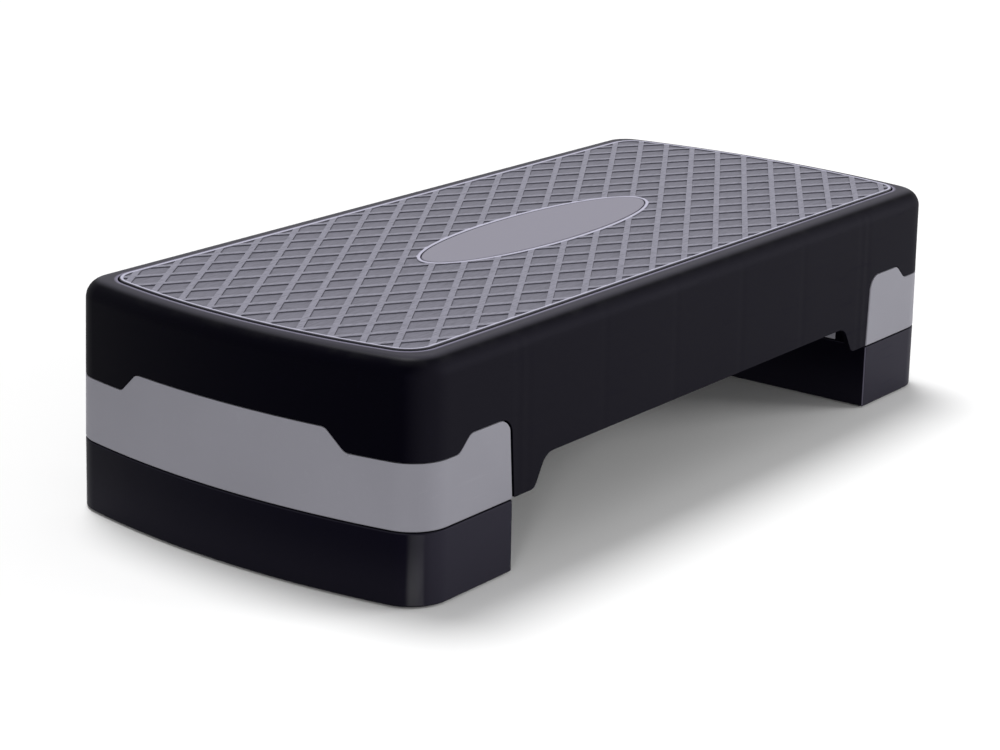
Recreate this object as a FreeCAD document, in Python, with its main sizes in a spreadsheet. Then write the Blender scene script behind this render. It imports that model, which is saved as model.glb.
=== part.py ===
import FreeCAD, Part
import math
import os
from collections import namedtuple
from types import SimpleNamespace

import Sketcher

# Aerobic step platform: a ribbed deck on two end legs, each standing on a riser block that lifts off.
# X runs along the deck, Y across it and Z up. The origin lies on the floor under the middle of the deck.

# Driving dimensions in millimetres

SIZES = {
    # Plan of the whole step, taken at the underside of the legs
    "deck_length": 630.4,
    "deck_width": 282.8,
    "corner_radius": 27.0,
    "end_radius": 600.0,
    # How far every side leans in, from the underside of the legs to the top of the deck
    "draft": 2.0,
    # Heights
    "pad_proud": 1.0,
    "riser_height": 45.4,
    "riser_flare": 0.5,
    "seam_gap": 0.5,
    "deck_height": 102.1,
    "shoulder_height": 41.7,
    "skirt_height": 20.3,
    "leg_core_height": 58.1,
    # Walls of the mouldings
    "wall": 3.5,
    "floor_plate": 3.5,
    "top_plate": 4.0,
    "rib_wall": 2.5,
    "rib_root": 0.5,
    "edge_radius": 1.2,
    # Deck
    "top_radius": 12.0,
    "tab_width": 20.5,
    "tab_slope": 11.5,
    "tab_radius": 7.0,
    "skirt_radius": 12.0,
    "tab_lift": 0.6,
    "tab_gap": 1.4,
    "tab_web_depth": 20.0,
    "rib_clearance": 1.0,
    "cross_rib_margin": 36.0,
    "deck_boss_diameter": 11.0,
    # Legs
    "leg_length": 101.6,
    "leg_lean": 3.2,
    "end_tongue_height": 13.2,
    "end_tongue_top": 151.0,
    "end_tongue_foot": 179.0,
    "side_tongue_height": 10.0,
    "side_tongue_top": 38.0,
    "side_tongue_slope": 11.0,
    "tongue_radius": 7.0,
    "side_tongue_radius": 11.0,
    "collar_wall": 3.0,
    "collar_clearance": 0.5,
    "leg_boss_diameter": 15.0,
    "screw_seat": 5.0,
    "row_margin": 9.6,
    "column_margin": 65.0,
    # Riser pegs and their sockets
    "peg_diameter": 22.0,
    "peg_height": 12.0,
    "peg_chamfer": 2.0,
    "peg_clearance": 0.4,
    "socket_wall": 3.0,
    "socket_headroom": 2.5,
    "riser_rib_lift": 3.0,
    # Rubber pads
    "pad_size": 24.0,
    "pad_corner_cut": 4.0,
    "pad_thickness": 3.0,
    "pad_clearance": 0.3,
    "pad_boss_wall": 3.0,
    # Screws
    "screw_diameter": 4.0,
    "screw_length": 20.0,
    "screw_head_diameter": 8.0,
    "screw_head_height": 3.0,
    "screw_clearance": 0.3,
    "head_clearance": 1.0,
    # Tread mat
    "mat_length": 595.0,
    "mat_width": 242.4,
    "mat_corner_radius": 19.0,
    "mat_end_radius": 520.0,
    "mat_gap": 1.3,
    "mat_recess": 3.5,
    "mat_base": 3.5,
    "mat_rib_height": 1.0,
    "mat_rib_width": 4.0,
    "mat_rib_pitch": 20.0,
    "mat_rib_angle": 32.0,
    "mat_rim": 2.4,
    # Oval plate and the ring of the mat round it
    "oval_length": 240.4,
    "oval_width": 62.6,
    "oval_sink": 0.8,
    "oval_clearance": 0.9,
    "oval_ring": 3.0,
    "oval_round": 0.6,
}

# Counts
CROSS_RIBS = 8
LONG_RIBS = 3
ROWS = (-1, 1)
COLUMNS = (-1, 1)
LEG_RIB_ROWS = (-1, 1)
RISER_RIB_ROWS = (-2, -1, 0, 1, 2)
# A clipped mat cell that is smaller than this share of a whole one is left closed
SMALLEST_CELL = 0.12

doc = FreeCAD.newDocument("aerobic_step")
sheet = doc.addObject("Spreadsheet::Sheet", "Sizes")
for row, (alias, value) in enumerate(SIZES.items(), start=1):
    sheet.set(f"A{row}", alias)
    sheet.set(f"B{row}", str(value))
    sheet.setAlias(f"B{row}", alias)
doc.recompute()


# Sizes that are numbers and sheet expressions at once


class Size:
    """A length with its value and the sheet expression that gives it."""

    def __init__(self, value, text):
        self.value = value
        self.text = text

    def __add__(self, other):
        other = as_size(other)
        return Size(self.value + other.value, f"({self.text} + {other.text})")

    def __radd__(self, other):
        return as_size(other) + self

    def __sub__(self, other):
        other = as_size(other)
        return Size(self.value - other.value, f"({self.text} - {other.text})")

    def __rsub__(self, other):
        return as_size(other) - self

    def __mul__(self, other):
        other = as_size(other)
        return Size(self.value * other.value, f"({self.text} * {other.text})")

    def __rmul__(self, other):
        return as_size(other) * self

    def __truediv__(self, other):
        other = as_size(other)
        return Size(self.value / other.value, f"({self.text} / {other.text})")

    def __neg__(self):
        return 0 - self

    def root(self):
        return Size(math.sqrt(self.value), f"sqrt({self.text})")


def as_size(value):
    return value if isinstance(value, Size) else Size(float(value), f"({float(value)})")


S = SimpleNamespace(**{alias: Size(float(sheet.get(alias)), f"Sizes.{alias}") for alias in SIZES})

# Levels above the floor
riser_bottom = S.pad_proud
riser_top = riser_bottom + S.riser_height
leg_bottom = riser_top + S.seam_gap
shoulder = leg_bottom + S.shoulder_height
end_tongue_top = shoulder + S.end_tongue_height
side_tongue_top = shoulder + S.side_tongue_height
leg_top = leg_bottom + S.leg_core_height
tab_bottom = leg_bottom + S.tab_lift
skirt_edge = leg_bottom + S.skirt_height
deck_top = leg_bottom + S.deck_height
mat_bottom = deck_top - S.mat_recess
mat_floor = mat_bottom + S.mat_base
mat_top = mat_floor + S.mat_rib_height
plate_underside = mat_bottom - S.top_plate
deck_rib_bottom = leg_top + S.rib_clearance

# Plan positions at the right-hand end
half_length = S.deck_length / 2
half_width = S.deck_width / 2
leg_face = half_length - S.leg_length
leg_middle = half_length - S.leg_length / 2
column_half = (S.leg_length - S.column_margin) / 2
row_pitch = (half_width - S.row_margin) / 3
peg_row = row_pitch * 0.5
screw_row = row_pitch * 1.5
pad_row = row_pitch * 2.5


def pair(row_distance):
    """Two plan positions on the middle line of a leg, one each side of the middle of the step."""
    return [(leg_middle, row * row_distance) for row in ROWS]


def pad_places():
    """Plan positions of the four pads under one leg."""
    return [(leg_middle + column * column_half, row * pad_row) for column in COLUMNS for row in ROWS]


class Outline(namedtuple("Outline", "half_length half_width corner end")):
    """Plan of the step: straight sides, rounded corners and bowed ends."""

    def inset(self, distance):
        return Outline(
            self.half_length - distance,
            self.half_width - distance,
            self.corner - distance,
            self.end - distance,
        )

    def end_reach(self, across):
        """X of the bowed end at a distance from the middle line."""
        return self.half_length - self.end + (self.end * self.end - across * across).root()


def outline_at(level):
    plan_outline = Outline(half_length, half_width, S.corner_radius, S.end_radius)
    return plan_outline.inset(S.draft * (level - leg_bottom) / S.deck_height)


def leg_face_at(level):
    """X of the leaning inner face of a leg."""
    return leg_face + S.leg_lean * ((level - leg_bottom) / (end_tongue_top - leg_bottom))


# Curves of the outlines


def arc(centre_x, centre_y, radius, start, end):
    circle = Part.Circle(FreeCAD.Vector(centre_x, centre_y, 0), FreeCAD.Vector(0, 0, 1), radius)
    return Part.ArcOfCircle(circle, start, end)


def line(start, end):
    return Part.LineSegment(FreeCAD.Vector(*start, 0), FreeCAD.Vector(*end, 0))


def bowed_curves(outline):
    """Counter-clockwise: front side, right end, back side, left end, with a corner after each."""
    length, width, corner, end = (size.value for size in outline)
    end_x = length - end
    corner_y = width - corner
    corner_x = end_x + math.sqrt((end - corner) ** 2 - corner_y**2)
    turn = math.atan2(corner_y, corner_x - end_x)
    quarter = math.pi / 2
    return [
        line((-corner_x, -width), (corner_x, -width)),
        arc(corner_x, -corner_y, corner, -quarter, -turn),
        arc(end_x, 0, end, -turn, turn),
        arc(corner_x, corner_y, corner, turn, quarter),
        line((corner_x, width), (-corner_x, width)),
        arc(-corner_x, corner_y, corner, quarter, math.pi - turn),
        arc(-end_x, 0, end, math.pi - turn, math.pi + turn),
        arc(-corner_x, -corner_y, corner, math.pi + turn, 3 * quarter),
    ]


# Sketches whose dimensions are bound to the sheet

START, END, CENTRE = 1, 2, 3
X_AXIS = -1


def bind(target, prop, size):
    if "Sizes." in size.text:
        target.setExpression(prop, size.text)


def origin_feature(body, role):
    return next(feature for feature in body.Origin.OriginFeatures if feature.Role == role)


def new_sketch(body, name, plane, level):
    sketch = body.newObject("Sketcher::SketchObject", name)
    sketch.AttachmentSupport = [(origin_feature(body, plane), "")]
    sketch.MapMode = "FlatFace"
    level = as_size(level)
    sketch.AttachmentOffset = FreeCAD.Placement(FreeCAD.Vector(0, 0, level.value), FreeCAD.Rotation())
    bind(sketch, "AttachmentOffset.Base.z", level)
    return sketch


def dimension(sketch, kind, geometry, size, point=None):
    """Adds one named dimension and binds it to the sheet."""
    size = as_size(size)
    references = (geometry,) if point is None else (geometry, point)
    constraint = Sketcher.Constraint(kind, *references, size.value)
    constraint.Name = f"{kind.lower()}_{sketch.ConstraintCount}"
    sketch.addConstraint(constraint)
    bind(sketch, f"Constraints.{constraint.Name}", size)


def draw_chain(sketch, curves, closed_tangent=True):
    """Adds curves that follow each other smoothly, and returns the index of the first."""
    first = sketch.addGeometry(curves, False)[0]
    count = len(curves)
    joints = count if closed_tangent else count - 1
    for step in range(joints):
        after = first + (step + 1) % count
        sketch.addConstraint(Sketcher.Constraint("Tangent", first + step, END, after, START))
    return first


def dimension_end(sketch, end_arc, outline, sign):
    sketch.addConstraint(Sketcher.Constraint("PointOnObject", end_arc, CENTRE, X_AXIS))
    dimension(sketch, "DistanceX", end_arc, sign * (outline.half_length - outline.end), CENTRE)
    dimension(sketch, "Radius", end_arc, outline.end)


def draw_outline(sketch, outline):
    """The whole plan of the step."""
    first = draw_chain(sketch, bowed_curves(outline))
    for side, sign in ((first, -1), (first + 4, 1)):
        sketch.addConstraint(Sketcher.Constraint("Horizontal", side))
        dimension(sketch, "DistanceY", side, sign * outline.half_width, START)
    for end_arc, sign in ((first + 2, 1), (first + 6, -1)):
        dimension_end(sketch, end_arc, outline, sign)
    for corner in (first + 1, first + 3, first + 5, first + 7):
        dimension(sketch, "Radius", corner, outline.corner)


def draw_end_block(sketch, outline, face):
    """The right-hand end of the plan, closed by a straight inner face."""
    front, corner_a, end_arc, corner_b, back = bowed_curves(outline)[:5]
    width = outline.half_width.value
    front = line((face.value, -width), (front.EndPoint.x, -width))
    back = line((back.StartPoint.x, width), (face.value, width))
    first = draw_chain(sketch, [front, corner_a, end_arc, corner_b, back], closed_tangent=False)
    inner = sketch.addGeometry(line((face.value, width), (face.value, -width)), False)
    sketch.addConstraint(Sketcher.Constraint("Coincident", first + 4, END, inner, START))
    sketch.addConstraint(Sketcher.Constraint("Coincident", inner, END, first, START))
    sketch.addConstraint(Sketcher.Constraint("Vertical", inner))
    dimension(sketch, "DistanceX", inner, face, START)
    for side, sign, point in ((first, -1, START), (first + 4, 1, END)):
        sketch.addConstraint(Sketcher.Constraint("Horizontal", side))
        dimension(sketch, "DistanceY", side, sign * outline.half_width, point)
    dimension_end(sketch, first + 2, outline, 1)
    for corner in (first + 1, first + 3):
        dimension(sketch, "Radius", corner, outline.corner)


def draw_circle(sketch, x, y, radius):
    centre = FreeCAD.Vector(as_size(x).value, as_size(y).value, 0)
    circle = sketch.addGeometry(Part.Circle(centre, FreeCAD.Vector(0, 0, 1), as_size(radius).value), False)
    dimension(sketch, "DistanceX", circle, x, CENTRE)
    dimension(sketch, "DistanceY", circle, y, CENTRE)
    dimension(sketch, "Radius", circle, radius)


def draw_polygon(sketch, corners):
    """A closed counter-clockwise outline. Each corner is (x, y, radius), with radius None where sharp."""
    corners = [(as_size(x), as_size(y), radius and as_size(radius)) for x, y, radius in corners]
    points = [FreeCAD.Vector(x.value, y.value, 0) for x, y, _ in corners]
    count = len(corners)
    trims = []
    for index, (_, _, radius) in enumerate(corners):
        before = (points[index] - points[index - 1]).normalize()
        after = (points[(index + 1) % count] - points[index]).normalize()
        turn = math.atan2(before.cross(after).z, before.dot(after))
        reach = radius.value * math.tan(abs(turn) / 2) if radius else 0.0
        trims.append((before, after, turn, reach))
    sides = []
    for index in range(count):
        follower = (index + 1) % count
        start = points[index] + trims[index][1] * trims[index][3]
        end = points[follower] - trims[follower][0] * trims[follower][3]
        sides.append(Part.LineSegment(start, end))
    first = sketch.addGeometry(sides, False)[0]
    for index, (x, y, radius) in enumerate(corners):
        arriving = first + (index - 1) % count
        leaving = first + index
        if radius is None:
            sketch.addConstraint(Sketcher.Constraint("Coincident", arriving, END, leaving, START))
            dimension(sketch, "DistanceX", leaving, x, START)
            dimension(sketch, "DistanceY", leaving, y, START)
        else:
            round_corner(sketch, arriving, leaving, points[index], trims[index], (x, y, radius))


def round_corner(sketch, arriving, leaving, point, trim, corner):
    """Joins two sides of a polygon by an arc, held by the point where the sides would meet."""
    x, y, radius = corner
    before, after, turn, reach = trim
    left = math.copysign(1.0, turn)
    normal = FreeCAD.Vector(-before.y, before.x, 0) * left
    centre = point - before * reach + normal * radius.value
    start = (point - before * reach) - centre
    end = (point + after * reach) - centre
    if left < 0:
        start, end = end, start
    curve = arc(centre.x, centre.y, radius.value, math.atan2(start.y, start.x), math.atan2(end.y, end.x))
    bend = sketch.addGeometry(curve, False)
    apex = sketch.addGeometry(Part.Point(point), True)
    first_end, last_end = (START, END) if left > 0 else (END, START)
    sketch.addConstraint(Sketcher.Constraint("PointOnObject", apex, START, arriving))
    sketch.addConstraint(Sketcher.Constraint("PointOnObject", apex, START, leaving))
    sketch.addConstraint(Sketcher.Constraint("Tangent", arriving, END, bend, first_end))
    sketch.addConstraint(Sketcher.Constraint("Tangent", bend, last_end, leaving, START))
    dimension(sketch, "DistanceX", apex, x, START)
    dimension(sketch, "DistanceY", apex, y, START)
    dimension(sketch, "Radius", bend, radius)


def draw_cut_square(sketch, x, y, half, cut):
    flat = half - cut
    corners = [(-flat, -half), (flat, -half), (half, -flat), (half, flat)]
    corners += [(-along, -across) for along, across in corners]
    draw_polygon(sketch, [(x + along, y + across, None) for along, across in corners])


def draw_rectangle(sketch, low_x, high_x, low_y, high_y):
    draw_polygon(
        sketch,
        [(low_x, low_y, None), (high_x, low_y, None), (high_x, high_y, None), (low_x, high_y, None)],
    )


# Features of a body


volumes = {}


def grow_or_cut(body, feature, cuts):
    """Recomputes a new feature and makes sure that it added or took away material."""
    body.Tip = feature
    doc.recompute()
    volume = feature.Shape.Volume
    change = volume - volumes.get(body.Label, 0.0)
    volumes[body.Label] = volume
    if (change < 0) != cuts or change == 0:
        raise RuntimeError(f"{feature.Label} changed the volume of {body.Label} by {change:.1f}")
    return feature


def pad(body, name, sketch, length):
    feature = body.newObject("PartDesign::Pad", name)
    feature.Profile = sketch
    feature.Length = length.value
    bind(feature, "Length", length)
    return grow_or_cut(body, feature, cuts=False)


def pocket(body, name, sketch, length=None, reverse=False):
    """Cuts against the sketch's normal, along it when reversed, and both ways through without a length."""
    feature = body.newObject("PartDesign::Pocket", name)
    feature.Profile = sketch
    feature.Reversed = reverse
    if length is None:
        feature.Type = "ThroughAll"
        feature.SideType = "Symmetric"
    else:
        feature.Length = length.value
        bind(feature, "Length", length)
    return grow_or_cut(body, feature, cuts=True)


def loft(body, name, lower, upper, cuts=False):
    """A drafted block or hollow between two plans, drawn from the upper one down."""
    kind = "PartDesign::SubtractiveLoft" if cuts else "PartDesign::AdditiveLoft"
    feature = body.newObject(kind, name)
    feature.Profile = upper
    feature.Sections = [lower]
    feature.Ruled = True
    return grow_or_cut(body, feature, cuts)


def picked_edges(base, chosen):
    return [f"Edge{index}" for index, edge in enumerate(base.Shape.Edges, start=1) if chosen(edge)]


def fillet(body, name, base, radius, chosen):
    """Rounds the edges of the last feature that the chosen test picks."""
    feature = body.newObject("PartDesign::Fillet", name)
    feature.Base = (base, picked_edges(base, chosen))
    feature.Radius = radius.value
    bind(feature, "Radius", radius)
    return grow_or_cut(body, feature, cuts=True)


def chamfer(body, name, base, size, chosen):
    feature = body.newObject("PartDesign::Chamfer", name)
    feature.Base = (base, picked_edges(base, chosen))
    feature.Size = size.value
    bind(feature, "Size", size)
    return grow_or_cut(body, feature, cuts=True)


def mirror(body, name, originals, plane, cuts):
    feature = body.newObject("PartDesign::Mirrored", name)
    feature.Originals = originals
    feature.MirrorPlane = (origin_feature(body, plane), [""])
    return grow_or_cut(body, feature, cuts)


def repeat(body, name, original, axis, span, count):
    feature = body.newObject("PartDesign::LinearPattern", name)
    feature.Originals = [original]
    feature.Direction = (origin_feature(body, axis), [""])
    feature.Length = span.value
    bind(feature, "Length", span)
    feature.Occurrences = count
    return grow_or_cut(body, feature, cuts=False)


def lies_at(edge, level):
    return all(abs(vertex.Z - level.value) < 0.01 for vertex in edge.Vertexes)


def circles(body, name, level, centres, diameter):
    sketch = new_sketch(body, name, "XY_Plane", level)
    for x, y in centres:
        draw_circle(sketch, x, y, diameter / 2)
    return sketch


def pad_plan(body, name, level, centres, margin=0):
    """Outlines of rubber pads, each widened by a margin all round."""
    sketch = new_sketch(body, name, "XY_Plane", level)
    for x, y in centres:
        draw_cut_square(sketch, x, y, S.pad_size / 2 + margin, S.pad_corner_cut)
    return sketch


def end_block(body, name, level, outline, face):
    sketch = new_sketch(body, name, "XY_Plane", level)
    draw_end_block(sketch, outline, face)
    return sketch


def plan(body, name, level, outline):
    sketch = new_sketch(body, name, "XY_Plane", level)
    draw_outline(sketch, outline)
    return sketch


def new_body(label):
    body = doc.addObject("PartDesign::Body", label)
    body.Label = label
    return body


def turned(item):
    """Moves a piece of the right-hand end to the left-hand end."""
    item.Placement = FreeCAD.Placement(FreeCAD.Vector(), FreeCAD.Rotation(FreeCAD.Vector(0, 0, 1), 180))
    return item


def left_copy(body, label):
    """The same moulding for the left-hand end."""
    copy = new_body(label)
    base = copy.newObject("PartDesign::FeatureBase", "moulding")
    base.BaseFeature = body
    copy.Tip = base
    return turned(copy)


# The interlocking seam between deck and legs


def side_seam(gap, tab_gap):
    """Corners of the seam on a long side, from the end inwards to the top of the tab."""
    slope_foot = leg_face_at(side_tongue_top) + S.side_tongue_top + S.side_tongue_slope
    return [
        (slope_foot, shoulder - gap, S.tongue_radius),
        (slope_foot - S.side_tongue_slope, side_tongue_top - gap, S.tongue_radius),
        (leg_face_at(side_tongue_top) - tab_gap, side_tongue_top - gap, S.side_tongue_radius),
    ]


def end_seam(gap):
    """Corners of the seam on a bowed end, from right to left."""
    foot = S.end_tongue_foot / 2
    top = S.end_tongue_top / 2
    return [
        (foot, shoulder - gap, S.tongue_radius),
        (top, end_tongue_top - gap, S.tongue_radius),
        (-top, end_tongue_top - gap, S.tongue_radius),
        (-foot, shoulder - gap, S.tongue_radius),
    ]


# Room past a face, so that a cut leaves no skin
OVERRUN = 10.0
# Depth of a seam cut into a bowed end, past the wall and the bow of the tongue
end_cut = S.wall + (half_length - outline_at(shoulder).end_reach(S.end_tongue_foot / 2)) + OVERRUN


# Deck


def deck_shell():
    body = new_body("deck_shell")
    outer = outline_at(tab_bottom), outline_at(deck_top)
    shell = loft(
        body,
        "deck_block",
        plan(body, "deck_low_plan", tab_bottom, outer[0]),
        plan(body, "deck_high_plan", deck_top, outer[1]),
    )
    fillet(body, "deck_top_round", shell, S.top_radius, lambda edge: lies_at(edge, deck_top))
    loft(
        body,
        "deck_hollow",
        plan(body, "hollow_low_plan", tab_bottom, outer[0].inset(S.wall)),
        plan(body, "hollow_high_plan", plate_underside, outline_at(plate_underside).inset(S.wall)),
        cuts=True,
    )
    recess = plan(body, "mat_recess_plan", deck_top, mat_outline().inset(-S.mat_gap))
    pocket(body, "mat_recess", recess, S.mat_recess)
    cut_seam(body)
    deck_ribs(body)
    deck_bosses(body)
    return body


def cut_seam(body):
    """Cuts the lower edge of the deck: skirt, S-curved tabs and the notches for the tongues of the legs."""
    side = new_sketch(body, "side_seam", "XZ_Plane", 0)
    tab_edge = leg_face_at(tab_bottom) - S.tab_gap
    beyond = half_length + OVERRUN
    below = tab_bottom - OVERRUN
    draw_polygon(
        side,
        [(0, below, None), (beyond, below, None), (beyond, shoulder, None)]
        + side_seam(0, S.tab_gap)
        + [
            (tab_edge, tab_bottom, S.edge_radius),
            (tab_edge - S.tab_width, tab_bottom, S.tab_radius),
            (tab_edge - S.tab_width - S.tab_slope, skirt_edge, S.skirt_radius),
            (0, skirt_edge, None),
        ],
    )
    side_cut = pocket(body, "side_seam_cut", side)
    end = new_sketch(body, "end_seam", "YZ_Plane", beyond)
    reach = half_width + OVERRUN
    draw_polygon(
        end,
        [(-reach, below, None), (reach, below, None), (reach, shoulder, None)]
        + end_seam(0)
        + [(-reach, shoulder, None)],
    )
    end_notch = pocket(body, "end_seam_cut", end, end_cut + OVERRUN)
    mirror(body, "seam_both_ends", [side_cut, end_notch], "YZ_Plane", cuts=True)


def deck_ribs(body):
    """Stiffening ribs under the top plate, rooted in the plate and in the skirt."""
    height = plate_underside - deck_rib_bottom + S.rib_root
    rooted = outline_at(plate_underside).inset(S.wall / 2)
    half_wall = S.rib_wall / 2
    cross_span = (half_length - S.cross_rib_margin) * 2
    cross = new_sketch(body, "cross_rib_plan", "XY_Plane", deck_rib_bottom)
    cross_x = -cross_span / 2
    draw_rectangle(cross, cross_x - half_wall, cross_x + half_wall, -rooted.half_width, rooted.half_width)
    repeat(body, "cross_ribs", pad(body, "cross_rib", cross, height), "X_Axis", cross_span, CROSS_RIBS)
    long_span = screw_row * (LONG_RIBS - 1)
    long_y = -long_span / 2
    long_x = rooted.end_reach(long_span / 2)
    lengthwise = new_sketch(body, "long_rib_plan", "XY_Plane", deck_rib_bottom)
    draw_rectangle(lengthwise, -long_x, long_x, long_y - half_wall, long_y + half_wall)
    repeat(body, "long_ribs", pad(body, "long_rib", lengthwise, height), "Y_Axis", long_span, LONG_RIBS)
    webs = new_sketch(body, "tab_web_plan", "XY_Plane", tab_bottom + S.edge_radius)
    web_x = leg_face_at(tab_bottom) - S.tab_gap - S.edge_radius
    web_y = outline_at(deck_rib_bottom).half_width - S.edge_radius
    for row in ROWS:
        low, high = sorted((row * (web_y - S.tab_web_depth), row * web_y), key=lambda size: size.value)
        for low_x, high_x in ((web_x - S.wall, web_x), (-web_x, S.wall - web_x)):
            draw_rectangle(webs, low_x, high_x, low, high)
    pad(body, "tab_webs", webs, deck_top - S.top_radius - tab_bottom - S.edge_radius)


def deck_bosses(body):
    """Bosses that stand on the legs, with pilot holes for the screws."""
    centres = [(sign * x, y) for sign in (-1, 1) for x, y in pair(screw_row)]
    bosses = circles(body, "boss_plan", leg_top, centres, S.deck_boss_diameter)
    pad(body, "screw_bosses", bosses, plate_underside - leg_top + S.top_plate / 2)
    pilots = circles(body, "pilot_plan", leg_top, centres, S.screw_diameter + S.screw_clearance)
    pocket(body, "pilot_holes", pilots, S.screw_length - S.screw_seat + S.screw_clearance, reverse=True)


# Legs


def leg():
    body = new_body("leg_right")
    low, high = outline_at(leg_bottom), outline_at(end_tongue_top)
    block = loft(
        body,
        "leg_block",
        end_block(body, "leg_low_plan", leg_bottom, low, leg_face),
        end_block(body, "leg_high_plan", end_tongue_top, high, leg_face_at(end_tongue_top)),
    )
    fillet(body, "leg_edges", block, S.edge_radius, lambda edge: is_foot_edge(edge, leg_bottom))
    floor = leg_bottom + S.floor_plate
    hollow = [
        end_block(body, name, level, outline_at(level).inset(S.wall), leg_face_at(level) + S.wall)
        for name, level in (("hollow_low_plan", floor), ("hollow_high_plan", end_tongue_top))
    ]
    loft(body, "leg_hollow", *hollow, cuts=True)
    cut_leg_seam(body)
    leg_core(body, floor)
    leg_openings(body)
    return body


def is_foot_edge(edge, level):
    """The edges round the foot of an end block and up its two inner corners."""
    upright = abs(edge.Vertexes[0].Z - edge.Vertexes[-1].Z) > 1
    inner = max(vertex.X for vertex in edge.Vertexes) < leg_middle.value
    return lies_at(edge, level) or (upright and inner)


def cut_leg_seam(body):
    """Trims the walls of the leg to the seam, a gap below the edge of the deck."""
    above = end_tongue_top + OVERRUN
    beyond = half_length + OVERRUN
    inside = leg_face - OVERRUN
    below = shoulder - S.side_tongue_radius
    side = new_sketch(body, "side_seam", "XZ_Plane", half_width + OVERRUN)
    draw_polygon(
        side,
        [(beyond, shoulder - S.seam_gap, None), (beyond, above, None), (inside, above, None)]
        + [(inside, below, None), (leg_face_at(below), below, None)]
        + side_seam(S.seam_gap, 0)[::-1],
    )
    depth = half_width - S.end_tongue_foot / 2
    side_cut = pocket(body, "side_seam_cut", side, depth)
    mirror(body, "both_side_seams", [side_cut], "XZ_Plane", cuts=True)
    end = new_sketch(body, "end_seam", "YZ_Plane", beyond)
    reach = half_width + OVERRUN
    draw_polygon(
        end,
        [(reach, shoulder - S.seam_gap, None), (reach, above, None), (-reach, above, None)]
        + [(-reach, shoulder - S.seam_gap, None)]
        + end_seam(S.seam_gap)[::-1],
    )
    pocket(body, "end_seam_cut", end, end_cut + OVERRUN)


def leg_core(body, floor):
    """The collar that stands inside the skirt of the deck, ribs, screw bosses and peg sockets."""
    collar = outline_at(leg_top).inset(S.wall + S.collar_clearance)
    collar_face = leg_face_at(end_tongue_top)
    root = floor - S.floor_plate / 2
    ring = new_sketch(body, "collar_plan", "XY_Plane", root)
    draw_end_block(ring, collar, collar_face)
    draw_end_block(ring, collar.inset(S.collar_wall), collar_face + S.collar_wall)
    pad(body, "collar", ring, leg_top - root)
    half_wall = S.rib_wall / 2
    mid_collar = collar.inset(S.collar_wall / 2)
    ribs = new_sketch(body, "rib_plan", "XY_Plane", root)
    for row in LEG_RIB_ROWS:
        y = row * row_pitch
        draw_rectangle(ribs, leg_face + S.wall, mid_collar.end_reach(y), y - half_wall, y + half_wall)
    pad(body, "ribs", ribs, leg_top - root)
    spine = new_sketch(body, "spine_plan", "XY_Plane", root)
    draw_rectangle(
        spine,
        leg_middle - half_wall,
        leg_middle + half_wall,
        -mid_collar.half_width,
        mid_collar.half_width,
    )
    pad(body, "spine", spine, leg_top - root)
    bosses = circles(body, "boss_plan", root, pair(screw_row), S.leg_boss_diameter)
    pad(body, "screw_bosses", bosses, leg_top - root)
    socket = S.peg_diameter + (S.peg_clearance + S.socket_wall) * 2
    sockets = circles(body, "socket_plan", root, pair(peg_row), socket)
    pad(body, "peg_sockets", sockets, leg_bottom + S.peg_height + S.socket_headroom + S.socket_wall - root)


def leg_openings(body):
    """Holes in the underside: peg bores, pad seats and the deep holes for the screws."""
    bores = circles(body, "bore_plan", leg_bottom, pair(peg_row), S.peg_diameter + S.peg_clearance * 2)
    pocket(body, "peg_bores", bores, S.peg_height + S.socket_headroom, reverse=True)
    seats = pad_plan(body, "pad_seat_plan", leg_bottom, pad_places(), S.pad_clearance)
    pocket(body, "pad_seats", seats, S.pad_thickness - S.pad_proud, reverse=True)
    wells = circles(
        body,
        "well_plan",
        leg_bottom,
        pair(screw_row),
        S.screw_head_diameter + S.head_clearance * 2,
    )
    pocket(body, "screw_wells", wells, S.leg_core_height - S.screw_seat, reverse=True)
    holes = circles(body, "screw_hole_plan", leg_top, pair(screw_row), S.screw_diameter + S.screw_clearance)
    pocket(body, "screw_holes", holes, S.leg_core_height)


# Risers


def riser():
    body = new_body("riser_right")
    high = outline_at(leg_bottom)
    low = high.inset(-S.riser_flare)
    block = loft(
        body,
        "riser_block",
        end_block(body, "riser_low_plan", riser_bottom, low, leg_face),
        end_block(body, "riser_high_plan", riser_top, high, leg_face),
    )
    fillet(
        body,
        "riser_edges",
        block,
        S.edge_radius,
        lambda edge: is_foot_edge(edge, riser_bottom) or lies_at(edge, riser_top),
    )
    ceiling = riser_top - S.floor_plate
    loft(
        body,
        "riser_hollow",
        end_block(body, "hollow_low_plan", riser_bottom, low.inset(S.wall), leg_face + S.wall),
        end_block(body, "hollow_high_plan", ceiling, high.inset(S.wall), leg_face + S.wall),
        cuts=True,
    )
    riser_ribs(body, high)
    riser_bosses(body, ceiling)
    return body


def riser_ribs(body, high):
    """A grid of ribs under the top of the riser, a little short of the floor."""
    root = riser_bottom + S.riser_rib_lift
    height = riser_top - S.floor_plate / 2 - root
    half_wall = S.rib_wall / 2
    rooted = high.inset(S.wall / 2)
    ribs = new_sketch(body, "rib_plan", "XY_Plane", root)
    for row in RISER_RIB_ROWS:
        y = row * row_pitch
        draw_rectangle(ribs, leg_face + S.wall / 2, rooted.end_reach(y), y - half_wall, y + half_wall)
    pad(body, "ribs", ribs, height)
    spine = new_sketch(body, "spine_plan", "XY_Plane", root)
    spine_half = rooted.half_width
    draw_rectangle(spine, leg_middle - half_wall, leg_middle + half_wall, -spine_half, spine_half)
    pad(body, "spine", spine, height)


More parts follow.
